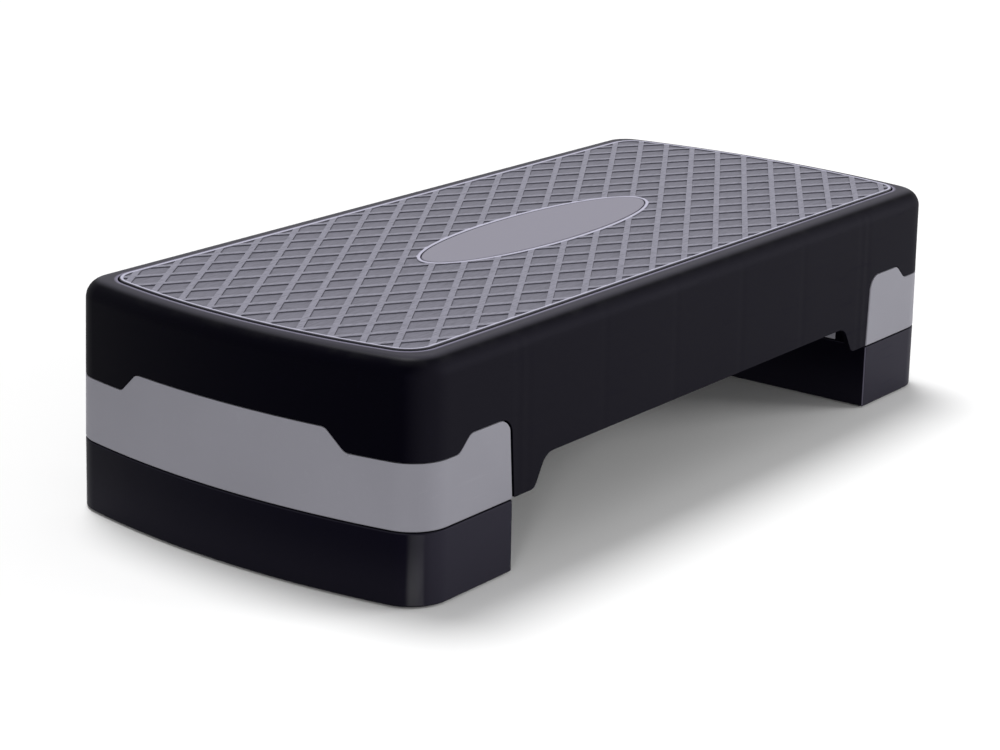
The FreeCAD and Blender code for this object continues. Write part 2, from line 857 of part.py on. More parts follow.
def riser_bosses(body, ceiling):
    """Pad bosses below, pad cups and locating pegs on top."""
    boss_margin = S.pad_clearance + S.pad_boss_wall
    bosses = pad_plan(body, "pad_boss_plan", riser_bottom, pad_places(), boss_margin)
    pad(body, "pad_bosses", bosses, ceiling + S.floor_plate / 2 - riser_bottom)
    seats = pad_plan(body, "pad_seat_plan", riser_bottom, pad_places(), S.pad_clearance)
    pocket(body, "pad_seats", seats, S.pad_thickness - S.pad_proud, reverse=True)
    cups = pad_plan(body, "pad_cup_plan", riser_top, pad_places(), S.pad_clearance)
    pocket(body, "pad_cups", cups, S.pad_proud - S.seam_gap)
    root = riser_top - S.floor_plate / 2
    pegs = circles(body, "peg_plan", root, pair(peg_row), S.peg_diameter)
    peg_top = riser_top + S.peg_height
    standing = pad(body, "pegs", pegs, peg_top - root)
    chamfer(body, "peg_tips", standing, S.peg_chamfer, lambda edge: lies_at(edge, peg_top))


# Rubber pads and screws


def rubber_pad(label, place, level):
    """A square block with cut corners that stands proud of its seat."""
    body = new_body(label)
    pad(body, "block", pad_plan(body, "block_plan", level, [place]), S.pad_thickness)
    return body


def rubber_pads(side):
    """Four pads under the riser and four under the leg, named by where they lie."""
    rows = ("back", "front") if side == "left" else ("front", "back")
    corners = [f"{column}_{row}" for column in ("inner", "outer") for row in rows]
    pads = []
    for carrier, level in (("riser", riser_bottom - S.pad_proud), ("leg", leg_bottom - S.pad_proud)):
        for corner, place in zip(corners, pad_places()):
            pads.append(rubber_pad(f"{carrier}_pad_{side}_{corner}", place, level))
    return pads


def screw_cylinder(name, place, level, diameter, height):
    cylinder = doc.addObject("Part::Cylinder", name)
    cylinder.Radius = diameter.value / 2
    cylinder.Height = height.value
    bind(cylinder, "Radius", diameter / 2)
    bind(cylinder, "Height", height)
    cylinder.Placement.Base = FreeCAD.Vector(place[0].value, place[1].value, level.value)
    for axis, size in zip("xyz", (*place, level)):
        bind(cylinder, f"Placement.Base.{axis}", size)
    return cylinder


def leg_screws(side):
    """Two screws, each driven up through the leg into a boss of the deck."""
    seat = leg_top - S.screw_seat
    screws = []
    for number, place in enumerate(pair(screw_row), start=1):
        tag = f"{side}_{number}"
        under = seat - S.screw_head_height
        head = screw_cylinder(f"head_{tag}", place, under, S.screw_head_diameter, S.screw_head_height)
        shank = screw_cylinder(f"shank_{tag}", place, seat, S.screw_diameter, S.screw_length)
        screw = doc.addObject("Part::Fuse", f"screw_{tag}")
        screw.Base = head
        screw.Tool = shank
        screws.append(screw)
    group = doc.addObject("Part::Compound", f"leg_screws_{side}")
    group.Label = f"leg_screws_{side}"
    group.Links = screws
    return group


# Tread mat and oval plate


def mat_outline():
    return Outline(S.mat_length / 2, S.mat_width / 2, S.mat_corner_radius, S.mat_end_radius)


def flat_face(wires, level):
    face = Part.makeFace(wires, "Part::FaceMakerBullseye")
    face.translate(FreeCAD.Vector(0, 0, level.value))
    return face


def oval_wire(margin):
    long_half = S.oval_length.value / 2 + margin
    short_half = S.oval_width.value / 2 + margin
    return Part.Wire(Part.Ellipse(FreeCAD.Vector(), long_half, short_half).toShape())


def cell_corner(along, across):
    """Plan point at given distances from the two middle rib lines."""
    slant = math.radians(S.mat_rib_angle.value)
    return FreeCAD.Vector(
        (across - along) / (2 * math.sin(slant)), (along + across) / (2 * math.cos(slant)), 0
    )


def mat_cells():
    """Wires of the diamond hollows, trimmed to the rim and to the ring round the oval plate."""
    pitch = S.mat_rib_pitch.value
    low = S.mat_rib_width.value / 2
    high = pitch - low
    field = Part.Face(Part.Wire([curve.toShape() for curve in bowed_curves(mat_outline().inset(S.mat_rim))]))
    ring = Part.Face(oval_wire(S.oval_clearance.value + S.oval_ring.value))
    field = field.cut(ring)
    bounds = field.BoundBox
    bounds.enlarge(1.0)
    whole = (high - low) ** 2 / math.sin(math.radians(2 * S.mat_rib_angle.value))
    reach = math.ceil((S.mat_length.value + S.mat_width.value) / (2 * pitch))
    wires = []
    for row in range(-reach, reach):
        for column in range(-reach, reach):
            base_a = row * pitch
            base_b = (column + 0.5) * pitch
            spans = ((low, low), (high, low), (high, high), (low, high))
            corners = [cell_corner(base_a + a, base_b + b) for a, b in spans]
            if not any(bounds.isInside(corner) for corner in corners):
                continue
            cell = Part.Face(Part.makePolygon(corners + corners[:1]))
            for piece in cell.common(field).Faces:
                if piece.Area > whole * SMALLEST_CELL:
                    wires.append(piece.OuterWire)
    return wires


def deck_mat():
    """One solid: a base sheet, with ribs, rim and ring raised from it as a single holed face."""
    outer = Part.Wire([curve.toShape() for curve in bowed_curves(mat_outline())])
    seat = oval_wire(S.oval_clearance.value)
    base = flat_face([outer], mat_bottom).extrude(FreeCAD.Vector(0, 0, S.mat_base.value))
    lattice = flat_face([outer, seat] + mat_cells(), mat_floor)
    raised = lattice.extrude(FreeCAD.Vector(0, 0, S.mat_rib_height.value))
    sunk = flat_face([seat], mat_floor - S.oval_sink).extrude(FreeCAD.Vector(0, 0, S.oval_sink.value))
    mat = doc.addObject("Part::Feature", "deck_mat")
    mat.Label = "deck_mat"
    mat.Shape = base.cut(sunk).fuse(raised).removeSplitter()
    mat.Placement = FreeCAD.Placement()
    return mat


def oval_plate():
    rim = doc.addObject("Part::Ellipse", "oval_rim")
    rim.MajorRadius = S.oval_length.value / 2
    rim.MinorRadius = S.oval_width.value / 2
    bind(rim, "MajorRadius", S.oval_length / 2)
    bind(rim, "MinorRadius", S.oval_width / 2)
    level = mat_floor - S.oval_sink
    rim.Placement.Base = FreeCAD.Vector(0, 0, level.value)
    bind(rim, "Placement.Base.z", level)
    thickness = mat_top - level
    slab = doc.addObject("Part::Extrusion", "oval_slab")
    slab.Base = rim
    slab.DirMode = "Custom"
    slab.Dir = FreeCAD.Vector(0, 0, 1)
    slab.LengthFwd = thickness.value
    bind(slab, "LengthFwd", thickness)
    slab.Solid = True
    doc.recompute()
    plate = doc.addObject("Part::Fillet", "oval_plate")
    plate.Label = "oval_plate"
    plate.Base = slab
    rounded = S.oval_round.value
    plate.Edges = [
        (index, rounded, rounded)
        for index, edge in enumerate(slab.Shape.Edges, start=1)
        if lies_at(edge, mat_top)
    ]
    return plate


# The whole step

nodes = [deck_shell(), deck_mat(), oval_plate()]
right_end = [leg(), riser(), leg_screws("right")] + rubber_pads("right")
left_end = [left_copy(right_end[0], "leg_left"), left_copy(right_end[1], "riser_left")]
left_end += [turned(item) for item in [leg_screws("left")] + rubber_pads("left")]
nodes += right_end + left_end
doc.recompute()

for item in doc.Objects:
    if "Invalid" in item.State or "Error" in item.State:
        raise RuntimeError(f"{item.Label} failed: {item.State}")
for node in nodes:
    if node.Shape.isNull() or not node.Shape.isValid():
        raise RuntimeError(f"{node.Label} has no valid shape")

os.makedirs("parts", exist_ok=True)
for node in nodes:
    node.Shape.exportStep(f"parts/{node.Label}.step")
    print(node.Label, len(node.Shape.Solids), round(node.Shape.Volume / 1000, 2), "cm3")
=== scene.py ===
import math

import bmesh
import bpy
from mathutils import Matrix, Vector
from mathutils.bvhtree import BVHTree


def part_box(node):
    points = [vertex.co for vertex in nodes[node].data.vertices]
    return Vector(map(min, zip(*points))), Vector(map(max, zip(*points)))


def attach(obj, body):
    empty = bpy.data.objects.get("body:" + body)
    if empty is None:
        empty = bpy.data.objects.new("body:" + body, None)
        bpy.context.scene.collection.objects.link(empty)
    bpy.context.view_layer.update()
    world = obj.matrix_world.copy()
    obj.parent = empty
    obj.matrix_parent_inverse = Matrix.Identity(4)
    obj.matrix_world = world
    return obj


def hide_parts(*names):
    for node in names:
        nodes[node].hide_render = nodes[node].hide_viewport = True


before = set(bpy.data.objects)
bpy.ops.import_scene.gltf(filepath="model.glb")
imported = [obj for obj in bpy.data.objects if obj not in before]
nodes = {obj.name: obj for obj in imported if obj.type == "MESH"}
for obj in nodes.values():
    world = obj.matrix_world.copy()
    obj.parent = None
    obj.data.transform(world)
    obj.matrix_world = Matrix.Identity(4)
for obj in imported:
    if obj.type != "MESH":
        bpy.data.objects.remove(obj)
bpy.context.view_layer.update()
MM = 0.001


# Node trees written as Python expressions


class Wire:
    """An output of a node tree. Arithmetic on it adds Math nodes."""

    def __init__(self, tree, socket):
        self.tree = tree
        self.socket = socket

    def join(self, operation, first, second=0.0):
        inputs = {0: first, 1: second}
        return self.tree.add("ShaderNodeMath", {"operation": operation}, inputs)["Value"]

    def __add__(self, other):
        return self.join("ADD", self, other)

    def __sub__(self, other):
        return self.join("SUBTRACT", self, other)

    def __rsub__(self, other):
        return self.join("SUBTRACT", other, self)

    def __mul__(self, other):
        return self.join("MULTIPLY", self, other)

    def __truediv__(self, other):
        return self.join("DIVIDE", self, other)

    def __abs__(self):
        return self.join("ABSOLUTE", self)

    def root(self):
        return self.join("SQRT", self)

    def sine(self):
        return self.join("SINE", self)

    def cosine(self):
        return self.join("COSINE", self)

    def fraction(self):
        return self.join("FRACT", self)

    def larger(self, other):
        return self.join("MAXIMUM", self, other)

    def smaller(self, other):
        return self.join("MINIMUM", self, other)

    def above(self, limit):
        return self.join("GREATER_THAN", self, limit)

    __radd__ = __add__
    __rmul__ = __mul__


class Outputs:
    """The outputs of one node, by name or number."""

    def __init__(self, tree, node):
        self.tree = tree
        self.node = node

    def __getitem__(self, key):
        return Wire(self.tree, self.node.outputs[key])


class Tree:
    """A shader or geometry tree that is filled by one method."""

    def __init__(self, tree):
        self.tree = tree

    def add(self, kind, settings=None, inputs=None):
        """Adds a node: first its settings, then the values or links of its sockets.

        A list means several links to one socket.
        """
        node = self.tree.nodes.new(kind)
        for name, value in (settings or {}).items():
            setattr(node, name, value)
        for key, value in (inputs or {}).items():
            for part in value if isinstance(value, list) else [value]:
                if isinstance(part, Wire):
                    self.tree.links.new(part.socket, node.inputs[key])
                else:
                    node.inputs[key].default_value = part
        return Outputs(self, node)


# Parts of finishes

NO_TINT = (1.0, 1.0, 1.0)


def noise(tree, place, scale, detail):
    inputs = {"Vector": place, "Scale": scale, "Detail": detail}
    return tree.add("ShaderNodeTexNoise", None, inputs)["Fac"]


def drawn_out(tree, place, scales, detail):
    """Noise with a scale of its own along each axis."""
    longer = tree.add("ShaderNodeMapping", None, {"Vector": place, "Scale": scales})["Vector"]
    return noise(tree, longer, 1.0, detail)


def rise(tree, value, low, high):
    """0 below low, 1 above high and smooth between them."""
    settings = {"interpolation_type": "SMOOTHSTEP"}
    inputs = {"Value": value, "From Min": low, "From Max": high}
    return tree.add("ShaderNodeMapRange", settings, inputs)["Result"]


def mixed(tree, share, first, second):
    """A mix of two colours, by the numbers of the node's factor and colour sockets."""
    return tree.add("ShaderNodeMix", {"data_type": "RGBA"}, {0: share, 6: first, 7: second})[2]


def axes(tree, vector):
    parts = tree.add("ShaderNodeSeparateXYZ", None, {"Vector": vector})
    return parts["X"], parts["Y"], parts["Z"]


def facing_axes(tree):
    """How far a face looks along x, y and z."""
    return axes(tree, tree.add("ShaderNodeNewGeometry")["Normal"])


def grey(level, tint=NO_TINT):
    return tuple(level * part for part in tint) + (1.0,)


def drifting(tree, drift, levels, tint=NO_TINT):
    """A colour that drifts between two grey levels."""
    dark, pale = levels
    return mixed(tree, drift, grey(dark, tint), grey(pale, tint))


def raised(tree, height, distance, strength, under=None):
    inputs = {"Height": height, "Distance": distance, "Strength": strength}
    if under is not None:
        inputs["Normal"] = under
    return tree.add("ShaderNodeBump", None, inputs)["Normal"]


def new_finish(name):
    material = bpy.data.materials.new(name)
    material.use_nodes = True
    material.node_tree.nodes.clear()
    tree = Tree(material.node_tree)
    place = tree.add("ShaderNodeTexCoord")["Object"]
    return material, tree, place


def close_finish(tree, base_color, roughness, normal, **fixed):
    """Ends a finish in one shader. Fixed values go straight to its sockets."""
    inputs = {"Base Color": base_color, "Roughness": roughness, "Normal": normal}
    inputs.update({name.replace("_", " "): value for name, value in fixed.items()})
    shader = tree.add("ShaderNodeBsdfPrincipled", None, inputs)["BSDF"]
    tree.add("ShaderNodeOutputMaterial", None, {"Surface": shader})


# Plan of the tread mat and of the oval plate

mat_low, mat_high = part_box("deck_mat")
oval_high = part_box("oval_plate")[1]
MAT_LENGTH = mat_high.x
MAT_WIDTH = mat_high.y
MAT_CORNER = 19.0 * MM
MAT_END = 520.0 * MM
MAT_RIM = 2.4 * MM
RIM_ROUND = 0.6 * MM
MAT_FLOOR = mat_high.z - 1.0 * MM
OVAL_GAP = 0.9 * MM
OVAL_RING = 3.0 * MM
RING_ROUND = 0.9 * MM
OVAL_SEAT = MAT_FLOOR - 0.8 * MM
FOOT_FLARE = 0.3 * MM
BEAD_STEPS = 4
RIB_ANGLE = math.radians(32.0)
RIB_SPACING = 20.0 * MM
RIB_ROWS = 24
RIB_REACH = 1.2 * MAT_LENGTH
RIB_FOOT = 5.6 * MM
RIB_CROWN = 3.4 * MM
RIB_ROUND = 0.6 * MM
RIB_ROUND_STEPS = 3
RIB_DROP = 0.08 * MM
ROOT = 0.5 * MM
PLAN_STEPS = 720


def mat_corner_middle():
    """Middle of a corner arc, which touches the side and the bowed end."""
    across = MAT_WIDTH - MAT_CORNER
    along = MAT_LENGTH - MAT_END + math.sqrt((MAT_END - MAT_CORNER) ** 2 - across**2)
    return along, across


def from_mat_floor(tree, place):
    """Distance outwards from the inner edge of the mat's rim."""
    x, y, _ = axes(tree, place)
    along, across = abs(x), abs(y)
    side = across - (MAT_WIDTH - MAT_RIM)
    end_x = MAT_LENGTH - MAT_END
    bow = along - end_x
    end = (bow * bow + y * y).root() - (MAT_END - MAT_RIM)
    corner_x, corner_y = mat_corner_middle()
    past_x = (along - corner_x).larger(0.0)
    past_y = (across - corner_y).larger(0.0)
    # The corner arc meets the bow on the line through the middles of both
    beside = past_y * (corner_x - end_x) - past_x * corner_y
    in_corner = beside.above(0.0)
    corner = (past_x * past_x + past_y * past_y).root() * in_corner - (MAT_CORNER - MAT_RIM)
    return side.larger(end).larger(corner)


# Finishes of the mouldings

VIOLET_BLACK = (0.92, 0.82, 2.10)
VIOLET_SHEEN = (0.58, 0.50, 1.0)
LEG_TINT = (0.98, 0.965, 1.10)
# Colour of the painted light on the deck and the risers
PAINTED_LIGHT_TINT = (0.98, 0.92, 1.26)
PAINTED_LIGHT_GREY = 0.24
PIGMENT_DRIFT = 0.18
FLOW_SCALES = (14.0, 14.0, 3.0)
SCUFF_SCALES = (30.0, 260.0, 260.0)
SCUFF_SHARE = 0.05
DUST_SHARE = 0.02
DUST_GREY = 0.30
MOULD_GRAIN = 0.05 * MM
SINK_DEPTH = 0.15 * MM
POLISH_ROUGHNESS = 0.32


def moulding(name, level, tint, base_roughness, specular, sheen=NO_TINT, sinks=None, painted_light_and_gloss=None):
    """Injection-moulded plastic with mould grain, drifting pigment, scuffs, dust and sink marks, and where
    given, painted light in the colour and gloss in the coat.
    """
    material, tree, place = new_finish(name)
    facing = facing_axes(tree)
    drift = noise(tree, place, scale=7.0, detail=3.0)
    grain = noise(tree, place, scale=1400.0, detail=2.0)
    flow = drawn_out(tree, place, FLOW_SCALES, detail=2.0)
    scuffs = rise(tree, drawn_out(tree, place, SCUFF_SCALES, detail=4.0), 0.60, 0.74)
    specks = rise(tree, noise(tree, place, scale=60.0, detail=5.0), 0.45, 0.75)
    dust = rise(tree, facing[2], 0.55, 0.95) * specks
    base = drifting(tree, drift, (level * (1.0 - PIGMENT_DRIFT), level * (1.0 + PIGMENT_DRIFT)), tint)
    base = mixed(tree, scuffs * SCUFF_SHARE, base, grey(level * 1.6 + 0.01, tint))
    base = mixed(tree, dust * DUST_SHARE, base, grey(DUST_GREY))
    roughness = base_roughness + (drift - 0.5) * 0.08 + (flow - 0.5) * 0.06 + scuffs * 0.07 + dust * 0.10
    relief = raised(tree, grain, MOULD_GRAIN, strength=0.5)
    if sinks:
        relief = raised(tree, sinks(tree, place, facing), -SINK_DEPTH, strength=1.0, under=relief)
    fixed = {"Specular_IOR_Level": specular, "Specular_Tint": grey(1.0, sheen)}
    if painted_light_and_gloss:
        # Painted light goes into the colour, gloss into the coat
        pale, polish = painted_light_and_gloss(tree, place, facing)
        base = mixed(tree, pale, base, grey(PAINTED_LIGHT_GREY, PAINTED_LIGHT_TINT))
        fixed.update({"Coat_Weight": polish, "Coat_Roughness": POLISH_ROUGHNESS})
    close_finish(tree, base, roughness, relief, **fixed)
    return material


UNDER_RIB_PITCH = 79.77 * MM
WEB_PLACE = 209.2 * MM
SINK_HALF = 6.0 * MM
RIB_SINK_SHARE = 0.8


def deck_sinks(tree, place, facing):
    """Shallow upright hollows in the long sides, where ribs and webs join the skirt from behind."""
    x = axes(tree, place)[0]
    from_rib = abs((x / UNDER_RIB_PITCH).fraction() - 0.5) * UNDER_RIB_PITCH
    from_web = abs(abs(x) - WEB_PLACE)
    on_side = rise(tree, abs(facing[1]), 0.55, 0.95)
    rib_marks = 1.0 - rise(tree, from_rib, 0.0, SINK_HALF)
    web_marks = 1.0 - rise(tree, from_web, 0.0, SINK_HALF)
    return (rib_marks * RIB_SINK_SHARE + web_marks) * on_side


DECK_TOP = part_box("deck_shell")[1].z
LIP_DEPTH = 2.4 * MM
BORDER_NEAR = MAT_RIM + 1.5 * MM
BORDER_FAR = MAT_RIM + 4.5 * MM


def deck_painted_light_and_gloss(tree, place, facing):
    """Painted light: the long sides a little lighter, a painted highlight along the upper edge and a
    stronger one round the mat; the upper edge also gets a little gloss.
    """
    lip = rise(tree, axes(tree, place)[2], DECK_TOP - LIP_DEPTH, DECK_TOP)
    border = 1.0 - rise(tree, from_mat_floor(tree, place), BORDER_NEAR, BORDER_FAR)
    side = rise(tree, abs(facing[1]), 0.40, 0.90)
    # Painted light: lighter long sides, a painted highlight on the upper edge and a stronger painted
    # highlight round the mat
    pale = (lip * lip * 0.12).larger(lip * border * 0.9).larger(side * 0.033)
    return pale, lip * 0.15


RISER_INNER = abs(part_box("riser_left")[1].x)
INNER_EDGE = 1.0 * MM
FOOT_LOW = 2.0 * MM
FOOT_HIGH = 42.0 * MM


def riser_painted_light_and_gloss(tree, place, facing):
    """Painted light: long sides lighter, lighter towards the foot as a painted floor reflection, and painted
    highlights on the inner and upper edges; also gloss on upright corners that hands have rubbed smooth,
    most of it near the foot.
    """
    x, _, z = axes(tree, place)
    # Lighter towards the foot: a painted floor reflection; the corner gloss grows there too
    foot = 1.0 - rise(tree, z, FOOT_LOW, FOOT_HIGH)
    # 0.5 where a wall looks half way between end and side
    turn = abs(facing[0] * facing[1])
    corner = rise(tree, turn, 0.45, 0.50)
    at_inner = 1.0 - rise(tree, abs(x), RISER_INNER, RISER_INNER + INNER_EDGE)
    inner_edge = rise(tree, turn, 0.10, 0.30) * at_inner
    upper_edge = rise(tree, facing[2], 0.15, 0.40) * (1.0 - rise(tree, facing[2], 0.75, 0.95))
    side = rise(tree, abs(facing[1]), 0.55, 0.95)
    # Painted light: lighter long sides, a painted floor reflection at the foot, painted highlights on the
    # inner and upper edges
    pale = (foot * 0.025).larger(side * 0.095).larger(inner_edge * 0.60).larger(upper_edge * 0.05)
    return pale, corner * (0.30 + foot * 0.70)


# Finishes of the mat, the oval plate, the pads and the screws

MAT_TINT = (0.97, 0.95, 1.18)
# The hollows' greys are darker than the rib tops as painted shade
HOLLOW_GREYS = (0.150, 0.174)
RIB_TOP_PAINTED_LIGHT_GREY = 0.240
STREAK_GREY = 0.09
BEAD_PAINTED_HIGHLIGHT_GREY = 0.48
FLANK_PAINTED_SHADE_GREY = 0.06
WALL_PAINTED_SHADE_GREY = 0.02
STREAK_SCALES = (120.0, 700.0, 700.0)
STREAK_HEIGHT = 0.12 * MM
RUBBER_GRAIN = 0.10 * MM
LEAST_SLOPE = 0.001


def tread_edges(tree, place):
    """Two masks: 1 on the rim of the mat and on the ring round the oval plate, where a highlight is painted,
    and 1 at the outer wall, where shade is painted.
    """
    from_floor = from_mat_floor(tree, place)
    rim = rise(tree, from_floor, -0.2 * MM, 0.4 * MM)
    wall = rise(tree, from_floor, MAT_RIM - 0.8 * MM, MAT_RIM - 0.3 * MM)
    x, y, _ = axes(tree, place)
    half_ring = OVAL_RING / 2
    long_half = oval_high.x + OVAL_GAP + half_ring
    short_half = oval_high.y + OVAL_GAP + half_ring
    u, v = x / long_half, y / short_half
    reach = (u * u + v * v).root()
    u, v = u / long_half, v / short_half
    slope = (u * u + v * v).root().larger(LEAST_SLOPE)
    off_ring = abs(reach - 1.0) * reach / slope
    ring = 1.0 - rise(tree, off_ring, half_ring - 0.5 * MM, half_ring + 0.2 * MM)
    return rim.larger(ring), wall


def tread_rubber(name):
    """Grey rubber with fine grain and streaks, painted light on the rib tops, rim and ring, and painted
    shade in the hollows, on the flanks and on the rim's outer wall.
    """
    material, tree, place = new_finish(name)
    height = axes(tree, place)[2]
    depth = mat_high.z - MAT_FLOOR
    on_top = rise(tree, height, MAT_FLOOR + 0.3 * depth, mat_high.z - 0.1 * depth)
    drift = noise(tree, place, scale=9.0, detail=3.0)
    grain = noise(tree, place, scale=900.0, detail=3.0)
    streaks = drawn_out(tree, place, STREAK_SCALES, detail=3.0)
    upright = 1.0 - rise(tree, facing_axes(tree)[2], 0.35, 0.9)
    edges, wall = tread_edges(tree, place)
    base = drifting(tree, drift, HOLLOW_GREYS, MAT_TINT)
    # Painted light and shade: rib tops lighter, the hollows left at the darker greys
    base = mixed(tree, on_top * 0.9, base, grey(RIB_TOP_PAINTED_LIGHT_GREY, MAT_TINT))
    base = mixed(tree, rise(tree, streaks, 0.40, 0.75) * 0.55, base, grey(STREAK_GREY, MAT_TINT))
    # Painted highlight on the rim of the mat and on the ring round the oval plate
    base = mixed(tree, edges * on_top * 0.95, base, grey(BEAD_PAINTED_HIGHLIGHT_GREY, MAT_TINT))
    # Painted shade on the rib flanks and the other upright walls
    base = mixed(tree, upright * 0.80, base, grey(FLANK_PAINTED_SHADE_GREY, MAT_TINT))
    # Painted shade on the outer wall of the rim: a dark line like a shadowed groove
    base = mixed(tree, wall * 0.85, base, grey(WALL_PAINTED_SHADE_GREY, MAT_TINT))
    roughness = 0.62 + (drift - 0.5) * 0.10 + (grain - 0.5) * 0.10 - on_top * 0.06
    relief = raised(tree, grain, RUBBER_GRAIN, strength=0.6)
    relief = raised(tree, streaks, STREAK_HEIGHT, strength=0.5, under=relief)
    close_finish(tree, base, roughness, relief, Specular_IOR_Level=0.16)
    return material


OVAL_TINT = (0.98, 0.945, 1.14)
OVAL_GREYS = (0.234, 0.252)
HAIRLINE_GREY = 0.31
HAIRLINE_SCALES = (60.0, 1500.0, 60.0)
OVAL_GRAIN = 0.02 * MM


def oval_plastic(name):
    """Smooth satin plate with hairline scratches."""
    material, tree, place = new_finish(name)
    drift = noise(tree, place, scale=16.0, detail=3.0)
    grain = noise(tree, place, scale=2200.0, detail=2.0)
    hairs = rise(tree, drawn_out(tree, place, HAIRLINE_SCALES, detail=3.0), 0.58, 0.72)
    base = drifting(tree, drift, OVAL_GREYS, OVAL_TINT)
    base = mixed(tree, hairs * 0.12, base, grey(HAIRLINE_GREY, OVAL_TINT))
    roughness = 0.62 + (drift - 0.5) * 0.08 + hairs * 0.06
    relief = raised(tree, grain, OVAL_GRAIN, strength=0.4)
    close_finish(tree, base, roughness, relief, Specular_IOR_Level=0.14)
    return material


PAD_GREYS = (0.012, 0.026)
PAD_GRAIN = 0.08 * MM


def pad_rubber(name):
    """Matt black rubber with a coarse grain."""
    material, tree, place = new_finish(name)
    drift = noise(tree, place, scale=40.0, detail=3.0)
    grain = noise(tree, place, scale=1600.0, detail=3.0)
    base = drifting(tree, drift, PAD_GREYS)
    roughness = 0.72 + (grain - 0.5) * 0.14
    relief = raised(tree, grain, PAD_GRAIN, strength=0.6)
    close_finish(tree, base, roughness, relief, Specular_IOR_Level=0.25)
    return material


ZINC_GREYS = (0.48, 0.62)
ZINC_GRAIN = 0.01 * MM


def zinc_steel(name):
    """Zinc-plated steel, a little cloudy."""
    material, tree, place = new_finish(name)
    drift = noise(tree, place, scale=300.0, detail=3.0)
    grain = noise(tree, place, scale=3000.0, detail=2.0)
    base = drifting(tree, drift, ZINC_GREYS)
    roughness = 0.30 + drift * 0.14
    relief = raised(tree, grain, ZINC_GRAIN, strength=0.5)
    close_finish(tree, base, roughness, relief, Metallic=1.0)
    return material


# Loops of the mat


def oval_reach(direction, margin):
    """Distance from the middle to the rim of the oval, widened by a margin."""
    long_half = oval_high.x + margin
    short_half = oval_high.y + margin
    return 1.0 / math.hypot(direction.x / long_half, direction.y / short_half)


def bowed_reach(direction, inset):
    """Distance from the middle to the edge of the mat: straight sides, rounded corners, bowed ends."""
    along, across = abs(direction.x), abs(direction.y)
    width, corner, end = MAT_WIDTH - inset, MAT_CORNER - inset, MAT_END - inset
    end_x = MAT_LENGTH - MAT_END
    corner_x, corner_y = mat_corner_middle()
    if across > 0 and width / across * along <= corner_x:
        return width / across
    reach = end_x * along + math.sqrt(end**2 - (end_x * across) ** 2)
    if reach * across <= end * corner_y / (end - corner):
        return reach
    middle = corner_x * along + corner_y * across
    return middle + math.sqrt(corner**2 - corner_x**2 - corner_y**2 + middle**2)


def plan_directions():
    """Unit vectors round the plan, closest together at the tips of the oval."""
    turns = [2 * math.pi * step / PLAN_STEPS for step in range(PLAN_STEPS)]
    return [Vector((oval_high.x * math.cos(t), oval_high.y * math.sin(t))).normalized() for t in turns]


def add_loop(built, directions, reach, margin, level):
    return [built.verts.new((*(way * reach(way, margin)), level)) for way in directions]


def bridge(built, lower, upper):
    count = len(lower)
    for step in range(count):
        after = (step + 1) % count
        built.faces.new((lower[step], lower[after], upper[after], upper[step]))


def quarter(steps):
    """Angles that divide a quarter turn into equal steps."""
    return [math.pi / 2 * step / steps for step in range(steps + 1)]


def finished_mesh(built, name):
    bmesh.ops.recalc_face_normals(built, faces=built.faces)
    mesh = bpy.data.meshes.new(name)
    built.to_mesh(mesh)
    built.free()
    return mesh


def bead(reach, near, far, near_round, far_round, top):
    """Steps of a raised bead between two margins, rounded at both shoulders."""
    rising = []
    falling = []
    for turn in quarter(BEAD_STEPS):
        from_flank = 1 - math.cos(turn)
        from_top = 1 - math.sin(turn)
        rising.append((reach, near + near_round * from_flank, top - abs(near_round) * from_top))
        falling.append((reach, far + far_round * from_top, top - abs(far_round) * from_flank))
    return rising + falling


def tread_sheet():
    """The sheet under the ribs, with its rim, its floor and the ring round the oval plate."""
    built = bmesh.new()
    ways = plan_directions()
    ring = OVAL_GAP + OVAL_RING
    profile = [(bowed_reach, 0.0, mat_low.z)]
    profile += bead(bowed_reach, 0.0, MAT_RIM, RIM_ROUND, -RIM_ROUND, mat_high.z)
    profile += [(bowed_reach, MAT_RIM + FOOT_FLARE, MAT_FLOOR), (oval_reach, ring + FOOT_FLARE, MAT_FLOOR)]
    profile += bead(oval_reach, ring, OVAL_GAP, -RING_ROUND, RING_ROUND, mat_high.z)
    profile += [(oval_reach, OVAL_GAP, OVAL_SEAT)]
    loops = [add_loop(built, ways, reach, margin, level) for reach, margin, level in profile]
    for lower, upper in zip(loops, loops[1:]):
        bridge(built, lower, upper)
    built.faces.new(loops[0])
    built.faces.new(loops[-1])
    return finished_mesh(built, "tread_sheet")


def rib_field():
    """The room between rim and ring that the ribs are trimmed to."""
    built = bmesh.new()
    ways = plan_directions()[::2]
    low, high = MAT_FLOOR - ROOT, mat_high.z + ROOT
    rim = MAT_RIM - ROOT
    ring = OVAL_GAP + OVAL_RING - ROOT
    loops = [
        add_loop(built, ways, bowed_reach, rim, low),
        add_loop(built, ways, bowed_reach, rim, high),
        add_loop(built, ways, oval_reach, ring, high),
        add_loop(built, ways, oval_reach, ring, low),
    ]
    for lower, upper in zip(loops, loops[1:] + loops[:1]):
        bridge(built, lower, upper)
    return finished_mesh(built, "rib_field")


# Geometry trees

BLUNT = math.radians(40.0)


def new_growth(name, sizes):
    """A geometry tree with named inputs: (name, socket type) pairs."""
    group = bpy.data.node_groups.new(name, "GeometryNodeTree")
    group.interface.new_socket("Geometry", in_out="INPUT", socket_type="NodeSocketGeometry")
    for size, kind in sizes:
        group.interface.new_socket(size, in_out="INPUT", socket_type=kind)
    group.interface.new_socket("Geometry", in_out="OUTPUT", socket_type="NodeSocketGeometry")
    tree = Tree(group)
    return tree, tree.add("NodeGroupInput")


